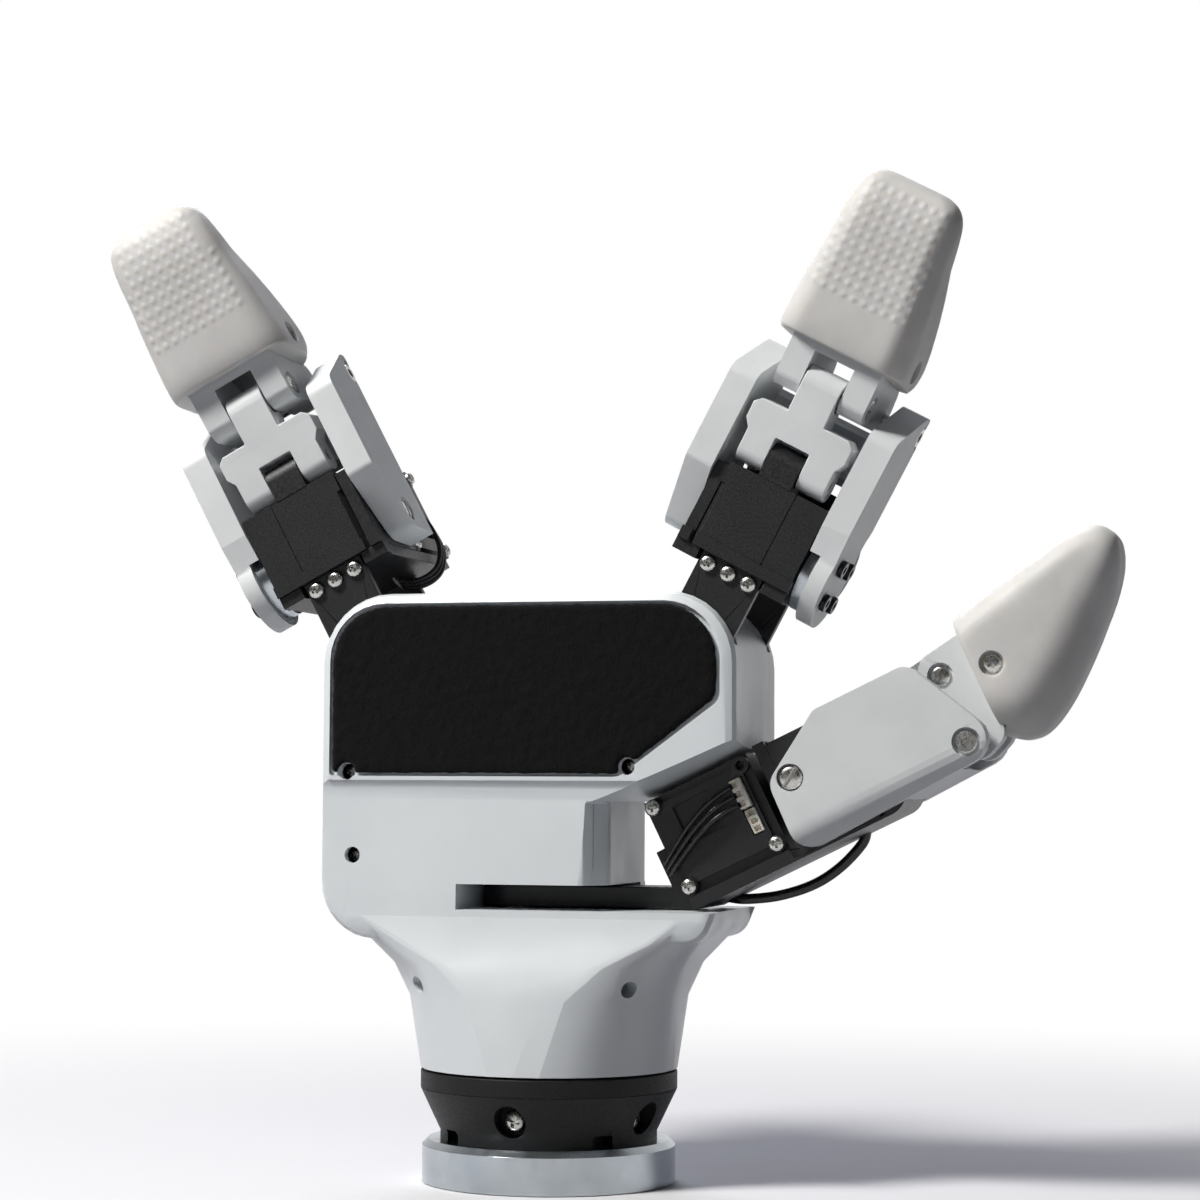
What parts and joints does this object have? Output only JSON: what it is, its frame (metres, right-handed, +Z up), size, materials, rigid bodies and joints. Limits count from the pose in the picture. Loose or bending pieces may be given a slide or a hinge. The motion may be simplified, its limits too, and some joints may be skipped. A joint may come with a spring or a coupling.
{
  "type": "dexterous robot hand",
  "caption": "Robot hand with a flat padded palm, leaning servo-driven fingers with linked soft tips, and a thumb that swings across the palm on a slotted arm.",
  "frame": {"origin": "centre of the mounting ring's bottom face, where the hand bolts to an arm", "axes": "+Z up from the wrist through the palm, -Y out of the palm's face, +X towards the thumb"},
  "size_m": [0.2492, 0.0696, 0.2428],
  "materials": {
    "machined_aluminium": "turned and polished",
    "turned_aluminium": "fine turned",
    "bright_steel": "nickel plated screws and pins",
    "black_screws": "black oxide",
    "white_shell": "satin white paint",
    "white_moulding": "satin moulded nylon",
    "white_plug": "moulded",
    "silicone_pad": "matte silicone",
    "palm_foam": "open foam",
    "black_wrist": "sintered, fine grain",
    "black_case": "satin moulded",
    "dark_frame": "anodised",
    "wire_sheath": "extruded sheath"
  },
  "bodies": {
    "palm": {"mounting_ring": "machined_aluminium", "wrist_flange": "black_wrist", "wrist_collar": "black_wrist", "wrist_screws": "bright_steel", "front_shell": "white_shell", "back_shell": "white_shell", "foam_pad": "palm_foam", "shell_screws": "bright_steel", "palm_frame": "dark_frame", "spread_pins": "bright_steel", "swing_pin": "bright_steel", "swing_servo": "black_case"},
    "index_base": {"index_bracket": "black_case", "index_flex_servo": "black_case", "index_rear_servo": "black_case", "index_base_screws": "bright_steel", "index_boss": "black_case"},
    "index_proximal": {"index_horn": "turned_aluminium", "index_horn_cover": "white_moulding", "index_idler_cover": "white_moulding", "index_horn_screws": "black_screws", "index_pivot_screws": "bright_steel"},
    "index_rod": {"index_rod": "white_moulding"},
    "index_tip": {"index_tip_link": "white_moulding", "index_tip_pins": "bright_steel", "index_tip_pad": "silicone_pad"},
    "middle_base": {"middle_bracket": "black_case", "middle_flex_servo": "black_case", "middle_rear_servo": "black_case", "middle_base_screws": "bright_steel", "middle_boss": "black_case"},
    "middle_proximal": {"middle_horn": "turned_aluminium", "middle_horn_cover": "white_moulding", "middle_idler_cover": "white_moulding", "middle_horn_screws": "black_screws", "middle_pivot_screws": "bright_steel"},
    "middle_rod": {"middle_rod": "white_moulding"},
    "middle_tip": {"middle_tip_link": "white_moulding", "middle_tip_pins": "bright_steel", "middle_tip_pad": "silicone_pad"},
    "thumb_base": {"thumb_arm": "black_case", "thumb_base_servo": "black_case", "thumb_housing": "black_case", "thumb_flex_servo": "black_case", "thumb_base_screws": "bright_steel", "thumb_plug": "white_plug", "thumb_wires": "wire_sheath", "thumb_boss": "black_case"},
    "thumb_proximal": {"thumb_horn": "turned_aluminium", "thumb_horn_cover": "white_moulding", "thumb_idler_cover": "white_moulding", "thumb_horn_screws": "black_screws", "thumb_pivot_screws": "bright_steel"},
    "thumb_rod": {"thumb_rod": "white_moulding"},
    "thumb_tip": {"thumb_tip_link": "white_moulding", "thumb_tip_pins": "bright_steel", "thumb_tip_pad": "silicone_pad"}
  },
  "joints": [
    {"name": "index_spread", "type": "hinge", "parent": "palm", "child": "index_base", "pos_m": [0.038, 0, 0.126], "axis": [0, 1, 0], "range_deg": [-28, 0]},
    {"name": "index_flex", "type": "hinge", "parent": "index_base", "child": "index_proximal", "pos_m": [0.05443, -0.012, 0.1569], "axis": [0.8829, 0, -0.4695], "range_deg": [0, 50]},
    {"name": "index_tip_bend", "type": "hinge", "parent": "index_proximal", "child": "index_tip", "pos_m": [0.07391, -0.0013, 0.19354], "axis": [0.8829, 0, -0.4695], "range_deg": [-1, 28.5]},
    {"name": "index_rod_turn", "type": "hinge", "parent": "index_base", "child": "index_rod", "pos_m": [0.06406, -0.019, 0.175], "axis": [0.8829, 0, -0.4695], "range_deg": [-1, 94.5]},
    {"name": "middle_spread", "type": "hinge", "parent": "palm", "child": "middle_base", "pos_m": [-0.038, 0, 0.126], "axis": [0, -1, 0], "range_deg": [-28, 0]},
    {"name": "middle_flex", "type": "hinge", "parent": "middle_base", "child": "middle_proximal", "pos_m": [-0.05443, -0.012, 0.1569], "axis": [0.8829, 0, 0.4695], "range_deg": [0, 50]},
    {"name": "middle_tip_bend", "type": "hinge", "parent": "middle_proximal", "child": "middle_tip", "pos_m": [-0.07391, -0.0013, 0.19354], "axis": [0.8829, 0, 0.4695], "range_deg": [-1, 28.5]},
    {"name": "middle_rod_turn", "type": "hinge", "parent": "middle_base", "child": "middle_rod", "pos_m": [-0.06406, -0.019, 0.175], "axis": [0.8829, 0, 0.4695], "range_deg": [-1, 94.5]},
    {"name": "thumb_swing", "type": "hinge", "parent": "palm", "child": "thumb_base", "pos_m": [-0.009, 0, 0.07], "axis": [0, 0, -1], "range_deg": [0, 90]},
    {"name": "thumb_flex", "type": "hinge", "parent": "thumb_base", "child": "thumb_proximal", "pos_m": [0.0655, 0, 0.1], "axis": [0, -1, 0], "range_deg": [0, 22]},
    {"name": "thumb_tip_bend", "type": "hinge", "parent": "thumb_proximal", "child": "thumb_tip", "pos_m": [0.10749, 0, 0.10858], "axis": [0, -1, 0], "range_deg": [-1, 13.1]},
    {"name": "thumb_rod_turn", "type": "hinge", "parent": "thumb_base", "child": "thumb_rod", "pos_m": [0.08086, 0, 0.11528], "axis": [0, -1, 0], "range_deg": [-1, 42.14]}
  ],
  "couplings": [
    {"joint": "index_tip_bend", "follows": "index_flex", "ratio": 0.55},
    {"joint": "index_rod_turn", "follows": "index_flex", "ratio": 1.87},
    {"joint": "middle_tip_bend", "follows": "middle_flex", "ratio": 0.55},
    {"joint": "middle_rod_turn", "follows": "middle_flex", "ratio": 1.87},
    {"joint": "thumb_tip_bend", "follows": "thumb_flex", "ratio": 0.55},
    {"joint": "thumb_rod_turn", "follows": "thumb_flex", "ratio": 1.87}
  ]
}
